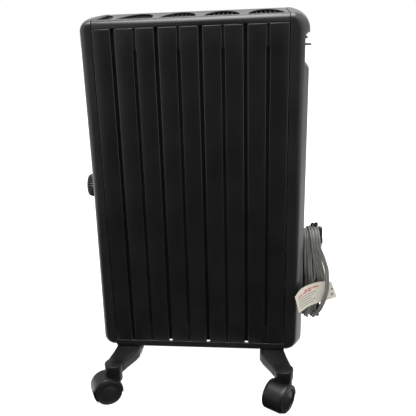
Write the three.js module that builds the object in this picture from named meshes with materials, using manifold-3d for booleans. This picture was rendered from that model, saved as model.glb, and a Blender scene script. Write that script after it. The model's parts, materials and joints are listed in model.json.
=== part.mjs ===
// Oil filled radiator heater on four twin-wheel casters, with folded flat-front fins.
// Millimetres, +Z up, +X towards the cord-storage end, -Y is the front. The origin is on the
// floor, under the middle of the heater without its cord.
import * as THREE from "three";
import { mergeVertices } from "three/addons/utils/BufferGeometryUtils.js";
import Module from "manifold-3d";

// ---------------------------------------------------------------- driving dimensions
const PITCH = 35; // one front panel with its gap
const BODY_DEPTH = 156; // front plane to rear plane of the fins
const FIN_BOTTOM = 93.5; // floor to the lower edge of the fins
const FIN_HEIGHT = 567;
const SHEET = 1.6; // folded steel sheet
const PANEL_GAP = 5.5; // dark gap between two panels
const PANEL_RETURN = 6; // folded-back edge of a panel
const GROOVE_DEPTH = 5; // mid-fin groove, front and rear
const LIP_DEPTH = 7; // lip that closes the gap to the next fin, behind its edge
const LIP_REACH = 8.5;
const GROOVE_FROM = 33; // above the lower edge of the fin
const GROOVE_TO = 532;
const WEB = 3; // two welded sheets
const CHANNEL_HALF = 6.5; // oil channel, half its thickness
const HUB_RADIUS = 26;
const HUB_INSET = 45; // hub axis from the end of the fin
const HEATER_BORE = 17;
const TOP_BORE = 10;
const COVER_HEIGHT = 12.6; // top cover above the fins
const COVER_RADIUS = 9; // its rounded front and rear edges
const COVER_WALL = 2.4;
const RAIL_HEIGHT = 11;
const VENT_HALF_WIDTH = 28.5; // half-moon vents, straight along the front
const VENT_FRONT = -58;
const VENT_LENGTH = 106;
const VENT_BAR_PITCH = 9.4;
const VENT_BARS = 5;
const CAP_WALL = 2.6;
const CAP_INNER = 156.2; // where both end caps meet the fins, from the fins' middle
const CAP_BOTTOM = 81.3;
const CAP_EDGE_RADIUS = 14; // vertical edges of the end caps
const LEFT_OUTER = 185.3; // control end, at the crown of its face
const LEFT_CROWN = 9;
const RIGHT_OUTER = 190.5; // cord end
const RIGHT_CROWN = 3.7;
const GRIP_DEPTH = 7.3; // finger groove across the cord end
const GRIP_BOTTOM = 592;
const GRIP_TOP = 641;
const KNOB_RADIUS = 21.3;
const KNOB_FACE = 202.4; // outer face of the knob, from the fins' middle
const KNOB_Z = 375.6;
const HOOK_FACE = 226; // outer face of the upper cord hook's boss
const HOOK_PLATE = 217.5; // inner faces of the hooks' end plates
const LOWER_HOOK_PLATE = 216;
const FOOT_X = 134.4; // middle of each foot's root
const STEM_X = 153.6; // caster stems
const STEM_Y = 126.6;
const BOSS_RADIUS = 16;
const BOSS_TOP = 74.2;
const BOSS_BOTTOM = 55;
const WHEEL_APOTHEM = 25; // wheel centre to the middle of a tread facet
const WHEEL_WIDTH = 16.5;
const WHEEL_SIDES = 24;
const CASTER_TRAIL = 16; // stem axis to axle
const HOOD_RADIUS = 28;
const HOOD_HALF_WIDTH = 19;
const STEM_RADIUS = 5.5;
const AXLE_RADIUS = 4;
const CORD_WIDTH = 8; // flat cord
const HANK_INNER = 21.3; // inner half-width of the wound cord
const HANK_OUTER = 31;
const GAP = 0.3; // between pieces that touch
const RUNNING = 0.06; // radial clearance of a shaft in its bore
const ROUND = 3; // segments of a rounded corner

const FRONT = -BODY_DEPTH / 2;
const FIN_TOP = FIN_BOTTOM + FIN_HEIGHT;
const CAP_TOP = FIN_TOP + GAP + COVER_HEIGHT + 0.4;
const MIDDLE_SHIFT = -(HOOK_FACE - KNOB_FACE) / 2;
const WHEEL_RADIUS = WHEEL_APOTHEM / Math.cos(Math.PI / WHEEL_SIDES);
const FIN_X = [-154, -87.3, -17.3, 52.7, 122.7];
const LOWER_HUB_Z = FIN_BOTTOM + HUB_INSET;
const UPPER_HUB_Z = FIN_TOP - HUB_INSET;

const wasm = await Module();
wasm.setup();

// ---------------------------------------------------------------- materials
const FINISHES = {
  fin_paint: [0x1c1d1e, 0.5, 0.2],
  cover_plastic: [0x232425, 0.42, 0],
  caster_plastic: [0x202022, 0.5, 0],
  wheel_plastic: [0x171717, 0.6, 0],
  control_plastic: [0x18191a, 0.45, 0],
  steel: [0x9a9c9e, 0.35, 0.9],
  brass: [0xb08d4a, 0.35, 0.9],
  bakelite: [0x3a3128, 0.55, 0],
  rocker_red: [0x7a1512, 0.35, 0],
  lamp_lens: [0xd0661e, 0.2, 0],
  cord_pvc: [0x8d8a82, 0.6, 0],
  tag_paper: [0xd8d2bd, 0.7, 0],
};
const materials = Object.fromEntries(
  Object.entries(FINISHES).map(([name, [color, roughness, metalness]]) => [
    name,
    new THREE.MeshStandardMaterial({ name, color, roughness, metalness }),
  ]),
);

// ---------------------------------------------------------------- solids
// A three.js geometry as a manifold solid.
function solid(geometry) {
  const bare = geometry.clone();
  bare.deleteAttribute("normal");
  bare.deleteAttribute("uv");
  const merged = mergeVertices(bare, 1e-4);
  return new wasm.Manifold(
    new wasm.Mesh({
      numProp: 3,
      vertProperties: merged.attributes.position.array,
      triVerts: new Uint32Array(merged.index.array),
    }),
  );
}

function geometryOf(made) {
  const mesh = made.getMesh();
  return new THREE.BufferGeometry()
    .setAttribute("position", new THREE.BufferAttribute(mesh.vertProperties, 3))
    .setIndex(new THREE.BufferAttribute(mesh.triVerts, 1));
}

const join = (...parts) => parts.reduce((a, b) => a.add(b));

function box(x0, x1, y0, y1, z0, z1) {
  const made = new THREE.BoxGeometry(x1 - x0, y1 - y0, z1 - z0);
  return solid(made.translate((x0 + x1) / 2, (y0 + y1) / 2, (z0 + z1) / 2));
}

// Axes of an outline extruded along x, y or z: where its own x, y and depth go.
const EXTRUDE_AXES = {
  x: [[0, 1, 0], [0, 0, 1], [1, 0, 0]],
  y: [[1, 0, 0], [0, 0, 1], [0, -1, 0]],
  z: [[1, 0, 0], [0, 1, 0], [0, 0, 1]],
};

function prism(outline, along, from, to, curveSegments = ROUND) {
  const made = new THREE.ExtrudeGeometry(outline, {
    depth: to - from,
    bevelEnabled: false,
    curveSegments,
  });
  made.translate(0, 0, along === "y" ? -to : from);
  const axes = EXTRUDE_AXES[along].map((v) => new THREE.Vector3(...v));
  made.applyMatrix4(new THREE.Matrix4().makeBasis(...axes));
  return solid(made);
}

// Closed outline through [x, y, radius] corners, each rounded by its radius.
function outlineOf(corners) {
  const shape = new THREE.Shape();
  corners.forEach(([x, y, radius = 0], i) => {
    const corner = new THREE.Vector2(x, y);
    const before = new THREE.Vector2(...corners.at(i - 1).slice(0, 2));
    const after = new THREE.Vector2(...corners[(i + 1) % corners.length].slice(0, 2));
    const start = before.sub(corner).setLength(radius).add(corner);
    const end = after.sub(corner).setLength(radius).add(corner);
    if (i === 0) shape.moveTo(start.x, start.y);
    else shape.lineTo(start.x, start.y);
    if (radius > 0) shape.quadraticCurveTo(x, y, end.x, end.y);
  });
  shape.closePath();
  return shape;
}

const rectangle = (x0, x1, y0, y1, radius = 0) =>
  outlineOf([
    [x0, y0, radius],
    [x1, y0, radius],
    [x1, y1, radius],
    [x0, y1, radius],
  ]);

// Round bar along x, y or z between two places.
function bar(along, radius, from, to, [a, b], sides = 20) {
  const made = new THREE.CylinderGeometry(radius, radius, to - from, sides);
  const middle = (from + to) / 2;
  if (along === "x") made.rotateZ(Math.PI / 2).translate(middle, a, b);
  if (along === "y") made.translate(a, middle, b);
  if (along === "z") made.rotateX(Math.PI / 2).translate(a, b, middle);
  return solid(made);
}

// Radius of a polygonal bore in which a round shaft turns with a running clearance.
const runningBore = (shaft, sides) => (shaft + RUNNING) / Math.cos(Math.PI / sides);

// Ring of an upright racetrack in the Y-Z plane: half-width, lower and upper arc centres.
function racetrack(halfWidth, lower, upper, from, to) {
  const shape = new THREE.Shape();
  shape.absarc(0, upper, halfWidth, 0, Math.PI, false);
  shape.absarc(0, lower, halfWidth, Math.PI, 2 * Math.PI, false);
  shape.closePath();
  return prism(shape, "x", from, to, 10);
}

// Solid turned about an axis parallel to X: [radius, x] points, closed on themselves.
function turned(points, sides, y, z) {
  const profile = points.map(([r, x]) => new THREE.Vector2(r, x));
  const made = new THREE.LatheGeometry([...profile, profile[0]], sides);
  return solid(made.rotateZ(-Math.PI / 2).translate(0, y, z));
}

const heater = new THREE.Group();
const body = new THREE.Group();
body.position.x = MIDDLE_SHIFT;
heater.add(body);

function place(name, made, finish, group = body) {
  const mesh = new THREE.Mesh(geometryOf(made), materials[finish]);
  mesh.name = name;
  group.add(mesh);
}

// ---------------------------------------------------------------- fins
// Section of a fin: folded panels front and rear, a web, and the oil channel in its middle.
// left and right are the reach of the panels from the web; 0 leaves that side plain.
// lipped adds a lip to the right-hand edges, which runs behind the next fin's edges.
function finSection(left, right, grooved, lipped) {
  const half = (reach, lip) => {
    const fork = grooved ? PANEL_GAP / 2 + SHEET : WEB / 2;
    const floor = grooved ? GROOVE_DEPTH + SHEET : SHEET;
    const edge = reach
      ? [
          [reach, 0],
          ...(lip
            ? [
                [reach, LIP_DEPTH],
                [reach + LIP_REACH, LIP_DEPTH],
                [reach + LIP_REACH, LIP_DEPTH + SHEET],
                [reach - SHEET, LIP_DEPTH + SHEET],
              ]
            : [[reach, PANEL_RETURN], [reach - SHEET, PANEL_RETURN]]),
          [reach - SHEET, SHEET],
          [fork, SHEET],
          ...(grooved ? [[fork, floor], [WEB / 2, floor]] : []),
        ]
      : [[WEB / 2, 0]];
    return [...edge, [WEB / 2, 50], [CHANNEL_HALF, 58]];
  };
  const slot = grooved
    ? [[PANEL_GAP / 2, 0], [PANEL_GAP / 2, GROOVE_DEPTH]]
    : [];
  const rightFront = [...slot.toReversed(), ...half(right, lipped)];
  const leftFront = [...slot.toReversed(), ...half(left, false)];
  const mirrored = (points, side, rear) =>
    points.map(([x, d]) => [side * x, rear ? -FRONT - d : FRONT + d]);
  return outlineOf([
    ...mirrored(rightFront, 1, false),
    ...mirrored(rightFront, 1, true).toReversed(),
    ...mirrored(leftFront, -1, true),
    ...mirrored(leftFront, -1, false).toReversed(),
  ]);
}

function fin(index) {
  const x = FIN_X[index];
  const reach = PITCH - PANEL_GAP / 2;
  const first = index === 0;
  const last = index === FIN_X.length - 1;
  const left = first ? 0 : reach;
  const right = first ? reach - 3.3 : last ? reach + 0.6 : reach;
  const hubLeft = first ? -7 : -PITCH + GAP / 2;
  const hubRight = last ? 20 : first ? 31.55 : PITCH - GAP / 2;
  const lower = FIN_BOTTOM + GROOVE_FROM;
  const upper = FIN_BOTTOM + GROOVE_TO;
  let made = first
    ? prism(finSection(left, right, false, !last), "z", FIN_BOTTOM, FIN_TOP)
    : join(
        prism(finSection(left, right, false, !last), "z", FIN_BOTTOM, lower),
        prism(finSection(left, right, true, !last), "z", lower, upper),
        prism(finSection(left, right, false, !last), "z", upper, FIN_TOP),
      );
  for (const [z, bore] of [[LOWER_HUB_Z, HEATER_BORE], [UPPER_HUB_Z, TOP_BORE]]) {
    made = made
      .add(bar("x", HUB_RADIUS, hubLeft, hubRight, [0, z], 20))
      .subtract(bar("x", bore, hubLeft - 5, hubRight + 5, [0, z], 16));
  }
  const mesh = new THREE.Mesh(geometryOf(made), materials.fin_paint);
  mesh.name = `fin_${index + 1}`;
  mesh.position.x = x;
  body.add(mesh);
}
FIN_X.forEach((x, index) => fin(index));

// ---------------------------------------------------------------- top cover and lower rails
// Outline of one vent: a half-moon, straight along its front edge.
function ventOutline(x, grow) {
  const shape = new THREE.Shape();
  shape.absellipse(x, VENT_FRONT - grow, VENT_HALF_WIDTH + grow, VENT_LENGTH + 2 * grow, 0, Math.PI);
  shape.closePath();
  return shape;
}

// Open grille of one vent: bars from front to rear and one cross bar, sunk under the top face.
function ventGrille(x, z0, z1) {
  const cross = VENT_FRONT + VENT_LENGTH * 0.36;
  const bars = [box(x - VENT_HALF_WIDTH, x + VENT_HALF_WIDTH, cross - 0.9, cross + 0.9, z0, z1)];
  for (let i = 0; i < VENT_BARS; i += 1) {
    const middle = x + VENT_BAR_PITCH * (i - (VENT_BARS - 1) / 2);
    bars.push(box(middle - 0.9, middle + 0.9, VENT_FRONT - 1, VENT_FRONT + VENT_LENGTH + 1, z0, z1));
  }
  return join(...bars).intersect(prism(ventOutline(x, 1), "z", z0, z1, 10));
}

function topCover() {
  const z0 = FIN_TOP + GAP;
  const z1 = z0 + COVER_HEIGHT;
  const half = CAP_INNER - GAP;
  const section = (inset) =>
    outlineOf([
      [FRONT + inset, z0 - inset],
      [-FRONT - inset, z0 - inset],
      [-FRONT - inset, z1 - inset, COVER_RADIUS],
      [FRONT + inset, z1 - inset, COVER_RADIUS],
    ]);
  let made = prism(section(0), "x", -half, half).subtract(
    prism(section(COVER_WALL), "x", -half - 1, half + 1),
  );
  const ventAt = [-157.3, ...FIN_X.slice(1)];
  const clip = box(-half + 1, half - 1, FRONT + 4, -FRONT - 4, z0, z1);
  for (const x of ventAt) {
    const hole = prism(ventOutline(x, 0), "z", z0, z1 + 1, 10);
    made = made.subtract(hole.intersect(box(-half + 3, half, FRONT, -FRONT, z0, z1 + 1)));
    made = made.add(ventGrille(x, z1 - 4.4, z1 - 1.8).intersect(clip));
  }
  place("top_cover", made, "cover_plastic");
}
topCover();

// Angle profile under the fins' front or rear edges, from cap to cap.
function lowerRail(name, end) {
  const z0 = FIN_BOTTOM - GAP - RAIL_HEIGHT;
  const z1 = FIN_BOTTOM - GAP;
  const half = CAP_INNER - GAP;
  const [face, wall, flange] = [FRONT, FRONT + 3, FRONT + 14].map((y) => -end * y);
  const outline = outlineOf([
    [face, z0, 2],
    [flange, z0],
    [flange, z0 + 2.5],
    [wall, z0 + 2.5],
    [wall, z1],
    [face, z1],
  ]);
  place(name, prism(outline, "x", -half, half), "cover_plastic");
}
const U_BOLT_Y = HUB_RADIUS + 3.2;
lowerRail("lower_rail_front", -1);
lowerRail("lower_rail_rear", 1);

// ---------------------------------------------------------------- end caps
// Block of an end cap shrunk by inset: front outline, plan outline and side outline in common.
function capBlock(side, outer, crown, topRadius, bottomRadius, inset) {
  const mouth = CAP_INNER - (inset ? 5 : 0);
  const face = outer - inset;
  const low = CAP_BOTTOM + inset;
  const high = CAP_TOP - inset;
  const front = FRONT + inset;
  const edge = face - crown;
  const frontView = outlineOf([
    [side * mouth, low],
    [side * face, low, bottomRadius],
    [side * face, high, topRadius],
    [side * mouth, high],
  ]);
  const plan = outlineOf([
    [side * mouth, front],
    [side * edge, front, CAP_EDGE_RADIUS - inset / 2],
    [side * (face - crown * 0.35), front + 30, 12],
    [side * face, -34, 12],
    [side * face, 34, 12],
    [side * (face - crown * 0.35), -front - 30, 12],
    [side * edge, -front, CAP_EDGE_RADIUS - inset / 2],
    [side * mouth, -front],
  ]);
  const sideView = outlineOf([
    [front, low, 8],
    [-front, low, 8],
    [-front, high, COVER_RADIUS],
    [front, high, COVER_RADIUS],
  ]);
  const [x0, x1] = side > 0 ? [mouth - 1, face + 1] : [-face - 1, -mouth + 1];
  return prism(frontView, "y", front - 1, -front + 1)
    .intersect(prism(plan, "z", low - 1, high + 1))
    .intersect(prism(sideView, "x", x0, x1));
}

const SWITCH_Z = [432, 462];
const LAMP_Z = 486;
const PANEL_FROM = 350;
const PANEL_TO = 500;
const PIVOT_X = -180.4; // rocker pivots
const PIVOT_RADIUS = 1.2;

// Holes for the thermostat shaft, the two rockers and the lamp.
function controlHoles() {
  const x0 = -LEFT_OUTER - 6;
  const x1 = -LEFT_OUTER + 8;
  return join(
    bar("x", 4.5, x0, x1, [0, KNOB_Z], 16),
    bar("x", 3.6, x0, x1, [0, LAMP_Z], 12),
    ...SWITCH_Z.map((z) => box(x0, x1, -7.2, 7.2, z - 11.4, z + 11.4)),
  );
}

function leftCap() {
  const args = [-1, LEFT_OUTER, LEFT_CROWN, 22, 19];
  const made = capBlock(...args, 0).subtract(capBlock(...args, CAP_WALL));
  place("control_end_cap", made.subtract(controlHoles()), "cover_plastic");
}
leftCap();

// Finger groove across the cord end, and the deeper pocket in its middle; grow thickens it.
function gripSpace(grow) {
  const floor = RIGHT_OUTER - RIGHT_CROWN - GRIP_DEPTH - grow;
  const groove = outlineOf([
    [RIGHT_OUTER + 6, GRIP_BOTTOM - 12 - grow],
    [RIGHT_OUTER - 4, GRIP_BOTTOM - 6 - grow, 5],
    [floor, GRIP_BOTTOM + 6 - grow, 7],
    [floor, GRIP_TOP - 2 + grow, 4],
    [floor + 5, GRIP_TOP + 2 + grow, 2],
    [RIGHT_OUTER + 6, GRIP_TOP + grow],
  ]);
  const pocket = prism(
    rectangle(-46 - grow, 46 + grow, GRIP_BOTTOM + 8 - grow, GRIP_TOP - 1 + grow, 10),
    "x",
    floor - 13,
    floor + 4,
  );
  return prism(groove, "y", FRONT - 2, -FRONT + 2).add(pocket);
}

function rightCap() {
  const args = [1, RIGHT_OUTER, RIGHT_CROWN, 28, 21];
  const hollow = capBlock(...args, CAP_WALL).subtract(gripSpace(CAP_WALL));
  const made = capBlock(...args, 0).subtract(gripSpace(0)).subtract(hollow);
  const cordHole = bar("x", 5.4, RIGHT_OUTER - 12, RIGHT_OUTER + 5, [GLAND_Y, GLAND_Z], 12);
  place("cord_end_cap", made.subtract(cordHole), "cover_plastic");
}
const GLAND_Y = 40;
const GLAND_Z = 232;
rightCap();

// ---------------------------------------------------------------- control end
function controlPanel() {
  const x1 = -LEFT_OUTER - GAP;
  const plate = prism(rectangle(-24, 24, PANEL_FROM, PANEL_TO, 14), "x", x1 - 2, x1);
  place("control_panel", plate.subtract(controlHoles()), "control_plastic");
}
controlPanel();

function knob() {
  const back = -LEFT_OUTER - 2.9;
  const skirt = turned(
    [
      [3.3, -KNOB_FACE + 3.5],
      [KNOB_RADIUS - 6, -KNOB_FACE + 3.5],
      [KNOB_RADIUS - 5, -KNOB_FACE],
      [KNOB_RADIUS - 2, -KNOB_FACE],
      [KNOB_RADIUS, -KNOB_FACE + 2],
      [KNOB_RADIUS, back],
      [3.3, back],
    ],
    28,
    0,
    KNOB_Z,
  );
  const grip = box(-KNOB_FACE, -KNOB_FACE + 5, -14.6, 14.6, KNOB_Z - 4, KNOB_Z + 4);
  place("thermostat_knob", skirt.add(grip), "control_plastic");
  const shaftEnd = -KNOB_FACE + 5 + GAP;
  place("thermostat_shaft", bar("x", 3, shaftEnd, -176, [0, KNOB_Z], 16), "steel");
}
knob();

function thermostat() {
  const made = box(-181.6, -166, -16, 16, KNOB_Z - 20, KNOB_Z + 20);
  const bore = bar("x", runningBore(3, 16), -183, -175.5, [0, KNOB_Z], 16);
  const tabs = [-8, 8].map((y) => box(-176, -175, y - 3, y + 3, KNOB_Z - 30, KNOB_Z - 19));
  place("thermostat_body", join(made, ...tabs).subtract(bore), "bakelite");
}
thermostat();

// Rocker on two pivot pins in the side walls of its switch body, tipped to its off side.
function rocker(index) {
  const z = SWITCH_Z[index];
  const outline = outlineOf([
    [-190.4, -9.4, 0.8],
    [-189.2, 0],
    [-190.4, 9.4, 0.8],
    [-178.9, 8],
    [-178.9, -8],
  ]);
  const pivot = new THREE.Group();
  pivot.position.set(PIVOT_X, 0, z);
  pivot.rotation.y = THREE.MathUtils.degToRad(7);
  body.add(pivot);
  const paddle = prism(outline, "y", -6.1, 6.1);
  const pins = bar("y", PIVOT_RADIUS, -8.2, 8.2, [PIVOT_X, 0], 12);
  const made = join(paddle, pins);
  const mesh = new THREE.Mesh(geometryOf(made).translate(-PIVOT_X, 0, 0), materials.rocker_red);
  mesh.name = `power_rocker_${index + 1}`;
  pivot.add(mesh);
  const cup = box(-182.3, -166, -9, 9, z - 13, z + 13);
  const room = box(-184, -176.8, -7.2, 7.2, z - 11.4, z + 11.4);
  const sockets = bar("y", runningBore(PIVOT_RADIUS, 12), -8.5, 8.5, [PIVOT_X, z], 12);
  place(`switch_body_${index + 1}`, cup.subtract(room).subtract(sockets), "bakelite");
}
SWITCH_Z.forEach((z, index) => rocker(index));

place("pilot_lamp", bar("x", 3.2, -189.4, -168, [0, LAMP_Z], 12), "lamp_lens");
place("control_chassis_plate", box(-163.2, -162, -60, 60, 172, 585), "steel");

// ---------------------------------------------------------------- oil system
// Plugs that close the hubs at the control end: a hexagon head and its threaded shank.
function hubPlug(name, z, shank, head) {
  const end = FIN_X[0] - 7;
  const made = join(
    bar("x", head, end - GAP - 5, end - GAP, [0, z], 6),
    bar("x", shank, end - GAP - 1, end + 12, [0, z], 16),
  );
  place(name, made, "steel");
}
hubPlug("filler_plug", UPPER_HUB_Z, TOP_BORE - GAP, 15);
hubPlug("drain_plug", LOWER_HUB_Z, HEATER_BORE - GAP, 22);

// Heating element: two rods through the lower hubs, on a head that closes them.
function heatingElement() {
  const end = FIN_X.at(-1) + 20 + GAP;
  const made = join(
    bar("x", 23, end, end + 6, [0, LOWER_HUB_Z], 6),
    bar("x", HEATER_BORE - GAP, end - 10, end + 1, [0, LOWER_HUB_Z], 16),
    ...[-7, 7].map((y) => bar("x", 4, -138, end + 1, [y, LOWER_HUB_Z], 10)),
    ...[-9, 9].map((y) => box(end + 5, end + 15, y - 3, y + 3, LOWER_HUB_Z - 0.5, LOWER_HUB_Z + 0.5)),
  );
  place("heating_element", made, "brass");
}
heatingElement();

// ---------------------------------------------------------------- electrical parts, cord end
place("cord_chassis_plate", box(160, 161.2, -60, 60, 172, 560), "steel");
place(
  "terminal_block",
  join(
    box(161.6, 172, -24, 24, 200, 222),
    ...[-16, 0, 16].map((y) => bar("x", 4, 171, 175, [y, 211], 10)),
  ),
  "bakelite",
);
place(
  "thermal_cutout",
  join(
    bar("x", 9, FIN_X.at(-1) + CHANNEL_HALF + GAP, FIN_X.at(-1) + 15, [0, 330], 16),
    ...[-1, 1].map((s) =>
      box(FIN_X.at(-1) + 11, FIN_X.at(-1) + 12, s > 0 ? 8 : -17, s > 0 ? 17 : -8, 327, 333),
    ),
  ),
  "steel",
);
place("tip_over_switch", prism(rectangle(-14, 14, 94, 120, 2), "x", 160, 174), "bakelite");

function tube(points, shape, steps) {
  const path = new THREE.CatmullRomCurve3(points.map((p) => new THREE.Vector3(...p)));
  return solid(
    new THREE.ExtrudeGeometry(shape, {
      steps,
      bevelEnabled: false,
      extrudePath: path,
      curveSegments: 2,
    }),
  );
}

const LOOM_Y = 50;
const LOOM_Z = 88.4;
place(
  "wiring_loom",
  tube(
    [
      [167, 30, 199.4],
      [167, 36, 180],
      [168, LOOM_Y, 140],
      [168, LOOM_Y, 108],
      [158, LOOM_Y, LOOM_Z + 1],
      [130, LOOM_Y, LOOM_Z],
      [0, LOOM_Y, LOOM_Z],
      [-140, LOOM_Y, LOOM_Z],
      [-164, LOOM_Y, LOOM_Z + 3],
      [-173, LOOM_Y, 115],
      [-173, LOOM_Y, 200],
      [-173, LOOM_Y, 340],
      [-173, 36, 372],
      [-173, 18.5, KNOB_Z],
    ],
    outlineOf(
      Array.from({ length: 8 }, (_, i) => {
        const angle = (Math.PI * (i + 0.5)) / 4;
        return [2.5 * Math.cos(angle), 2.5 * Math.sin(angle)];
      }),
    ),
    44,
  ),
  "bakelite",
);

// ---------------------------------------------------------------- cord storage
const UPPER_ARC_Z = 265.3;
const LOWER_ARC_Z = 141;
const SADDLE_RADIUS = 20.6;

// Saddle that the cord is wound over: half a ring on a base plate, with an end plate.
function cordHook(up, baseX, plateX, plateEnd, plate) {
  const arcZ = up > 0 ? UPPER_ARC_Z : LOWER_ARC_Z;
  const half = (radius) => {
    const shape = new THREE.Shape();
    if (up > 0) shape.absarc(0, arcZ, radius, 0, Math.PI, false);
    else shape.absarc(0, arcZ, radius, Math.PI, 2 * Math.PI, false);
    shape.closePath();
    return shape;
  };
  const saddle = prism(half(SADDLE_RADIUS), "x", baseX, plateX + 1, 10).subtract(
    prism(half(SADDLE_RADIUS - 5), "x", baseX - 1, plateX, 8),
  );
  const base = prism(half(SADDLE_RADIUS), "x", baseX, baseX + 2.5, 10);
  return join(saddle, base, prism(plate, "x", plateX, plateEnd));
}
const HOOK_END = HOOK_FACE - 2.5;
place(
  "cord_hook_upper",
  cordHook(
    1,
    RIGHT_OUTER + GAP,
    HOOK_PLATE,
    HOOK_END,
    outlineOf([
      [-13, 243, 4],
      [13, 243, 4],
      [17, 281, 4],
      [12, 290, 4],
      [-12, 298, 4],
      [-17, 288, 4],
    ]),
  ).add(bar("x", 6, HOOK_END - 1, HOOK_FACE, [0, 266], 16)),
  "control_plastic",
);
place(
  "cord_hook_lower",
  cordHook(-1, RIGHT_OUTER + GAP, LOWER_HOOK_PLATE, HOOK_END, rectangle(-17, 17, 115.5, 146, 6)),
  "control_plastic",
);

// Clip in the finger groove that holds the plug while the cord is stored.
function plugClip() {
  const floor = RIGHT_OUTER - RIGHT_CROWN - GRIP_DEPTH;
  const made = join(
    box(floor - 12.6, floor - 10.6, -12, 12, 606, 634),
    box(floor - 11, 194.5, -9, 9, 617.4, 619.2),
    prism(
      outlineOf([
        [floor - 11, 629],
        [187, 628.5],
        [188.5, 630],
        [186, 632],
        [floor - 11, 633],
      ]),
      "y",
      -9,
      9,
    ),
  );
  place("plug_clip", made, "control_plastic");
}
plugClip();

// Gland: a box on the face with a tapered sleeve that points down.
function cordGland() {
  const x = RIGHT_OUTER + 6.5;
  const bottom = GLAND_Z - 14;
  const sleeve = new THREE.CylinderGeometry(6.4, 5, 26, 12);
  sleeve.rotateX(Math.PI / 2).translate(x, GLAND_Y, bottom - 12);
  const made = join(
    prism(rectangle(GLAND_Y - 8, GLAND_Y + 8, bottom, GLAND_Z + 10, 4), "x", 190.8, 204),
    solid(sleeve),
  );
  place("cord_gland", made, "control_plastic");
}
cordGland();

// Free lead from the gland to the winding.
const LEAD_FROM = GLAND_Z - 14 - 25.3;
const leadStub = prism(rectangle(193, 201, 38, 42, 1.4), "z", 160, LEAD_FROM);
place(
  "supply_cord_lead",
  leadStub.add(
    prism(
      outlineOf([
        [38, 162],
        [38, 156],
        [31.6, 143],
        [36, 141],
        [42, 155],
        [42, 162],
      ]),
      "x",
      193,
      201,
    ),
  ),
  "cord_pvc",
);

// Wound cord: an upright ring over both saddles, wider where its strands fan out.
function hank() {
  const x0 = RIGHT_OUTER + 1.6;
  const ring = racetrack(HANK_OUTER, LOWER_ARC_Z, UPPER_ARC_Z, x0, 240).subtract(
    racetrack(HANK_INNER, LOWER_ARC_Z, UPPER_ARC_Z, x0 - 1, 241),
  );
  const fan = outlineOf([
    [x0, 105],
    [LOWER_HOOK_PLATE - 0.4, 105],
    [LOWER_HOOK_PLATE - 0.4, 131],
    [238.5, 165, 10],
    [238.5, 215, 10],
    [HOOK_PLATE - 0.4, 258],
    [HOOK_PLATE - 0.4, 300],
    [x0, 300],
  ]);
  place("supply_cord_hank", ring.intersect(prism(fan, "y", -40, 40)), "cord_pvc");
}
hank();

// End of the cord, over the top of the winding and down behind it, to the plug.
const TAIL_X = 215;
const PLUG_TOP = 196;
place(
  "supply_cord_tail",
  prism(
    outlineOf([
      [31.6, 274, 0],
      [34, 284, 3],
      [38, 276, 3],
      [40, 262, 3],
      [40, PLUG_TOP + GAP],
      [36, PLUG_TOP + GAP],
      [36, 262, 3],
    ]),
    "x",
    TAIL_X - CORD_WIDTH / 2,
    TAIL_X + CORD_WIDTH / 2,
  ),
  "cord_pvc",
);

function plug() {
  const y = 38;
  const neck = new THREE.CylinderGeometry(4.6, 6.6, 16, 10);
  neck.rotateX(Math.PI / 2).translate(TAIL_X, y, PLUG_TOP - 8);
  const grip = prism(
    outlineOf([
      [TAIL_X - 8, PLUG_TOP - 12, 3],
      [TAIL_X - 11.5, PLUG_TOP - 34, 3],
      [TAIL_X - 11.5, PLUG_TOP - 42, 2],
      [TAIL_X + 11.5, PLUG_TOP - 42, 2],
      [TAIL_X + 11.5, PLUG_TOP - 34, 3],
      [TAIL_X + 8, PLUG_TOP - 12, 3],
    ]),
    "y",
    y - 6,
    y + 8,
  );
  place("plug_body", solid(neck).add(grip), "control_plastic");
  [-6.35, 6.35].forEach((offset, index) => {
    const x = TAIL_X + offset;
    const z1 = PLUG_TOP - 42 - GAP;
    const blade = box(x - 0.75, x + 0.75, y - 2.2, y + 4.1, z1 - 16, z1);
    place(`plug_blade_${index + 1}`, blade, "brass");
  });
}
plug();

// Paper tag round the outer strand: a thin curved plate that stands out to the front.
function cordTag() {
  const paper = 0.8;
  const route = [
    [176, -91],
    [184, -83],
    [195, -69.5],
    [207.5, -52],
    [221, -38.5],
    [234, -34.5],
    [248, -29],
  ];
  const left = route.map(([x, y]) => [x, y]);
  const right = route.map(([x, y]) => [x + paper * 0.6, y - paper]).toReversed();
  place("cord_tag", prism(outlineOf([...left, ...right]), "z", 162, 206), "tag_paper");
}
cordTag();

// Twist tie on top of the winding.
place(
  "cord_tie",
  prism(
    outlineOf([
      [202, 296.8, 1],
      [208.5, 298.2],
      [215, 296.8, 1],
      [215, 303.4, 2],
      [208.5, 300.6],
      [202, 303.4, 2],
    ]),
    "y",
    -3,
    3,
  ),
  "control_plastic",
);

// ---------------------------------------------------------------- feet
// One foot: a plate under the rail and a splayed arm to each end, hollow below, with a boss.
function footPlan(side, end, inset) {
  const root = 21 - inset;
  const radius = BOSS_RADIUS - inset;
  const angle = Math.atan2(STEM_Y - 78, STEM_X - FOOT_X);
  const across = [Math.sin(angle) * radius, -Math.cos(angle) * radius];
  const shape = new THREE.Shape();
  const at = (x, y) => [side * x, end * y];
  shape.moveTo(...at(FOOT_X - root, 60));
  shape.lineTo(...at(FOOT_X - root, 76));
  shape.lineTo(...at(STEM_X - across[0], STEM_Y - across[1]));
  for (let i = 1; i < 10; i += 1) {
    const turn = angle + Math.PI / 2 - (Math.PI * i) / 10;
    shape.lineTo(...at(STEM_X + Math.cos(turn) * radius, STEM_Y + Math.sin(turn) * radius));
  }
  shape.lineTo(...at(STEM_X + across[0], STEM_Y + across[1]));
  shape.lineTo(...at(FOOT_X + root, 70));
  shape.lineTo(...at(FOOT_X + root, 60));
  return shape;
}

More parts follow.
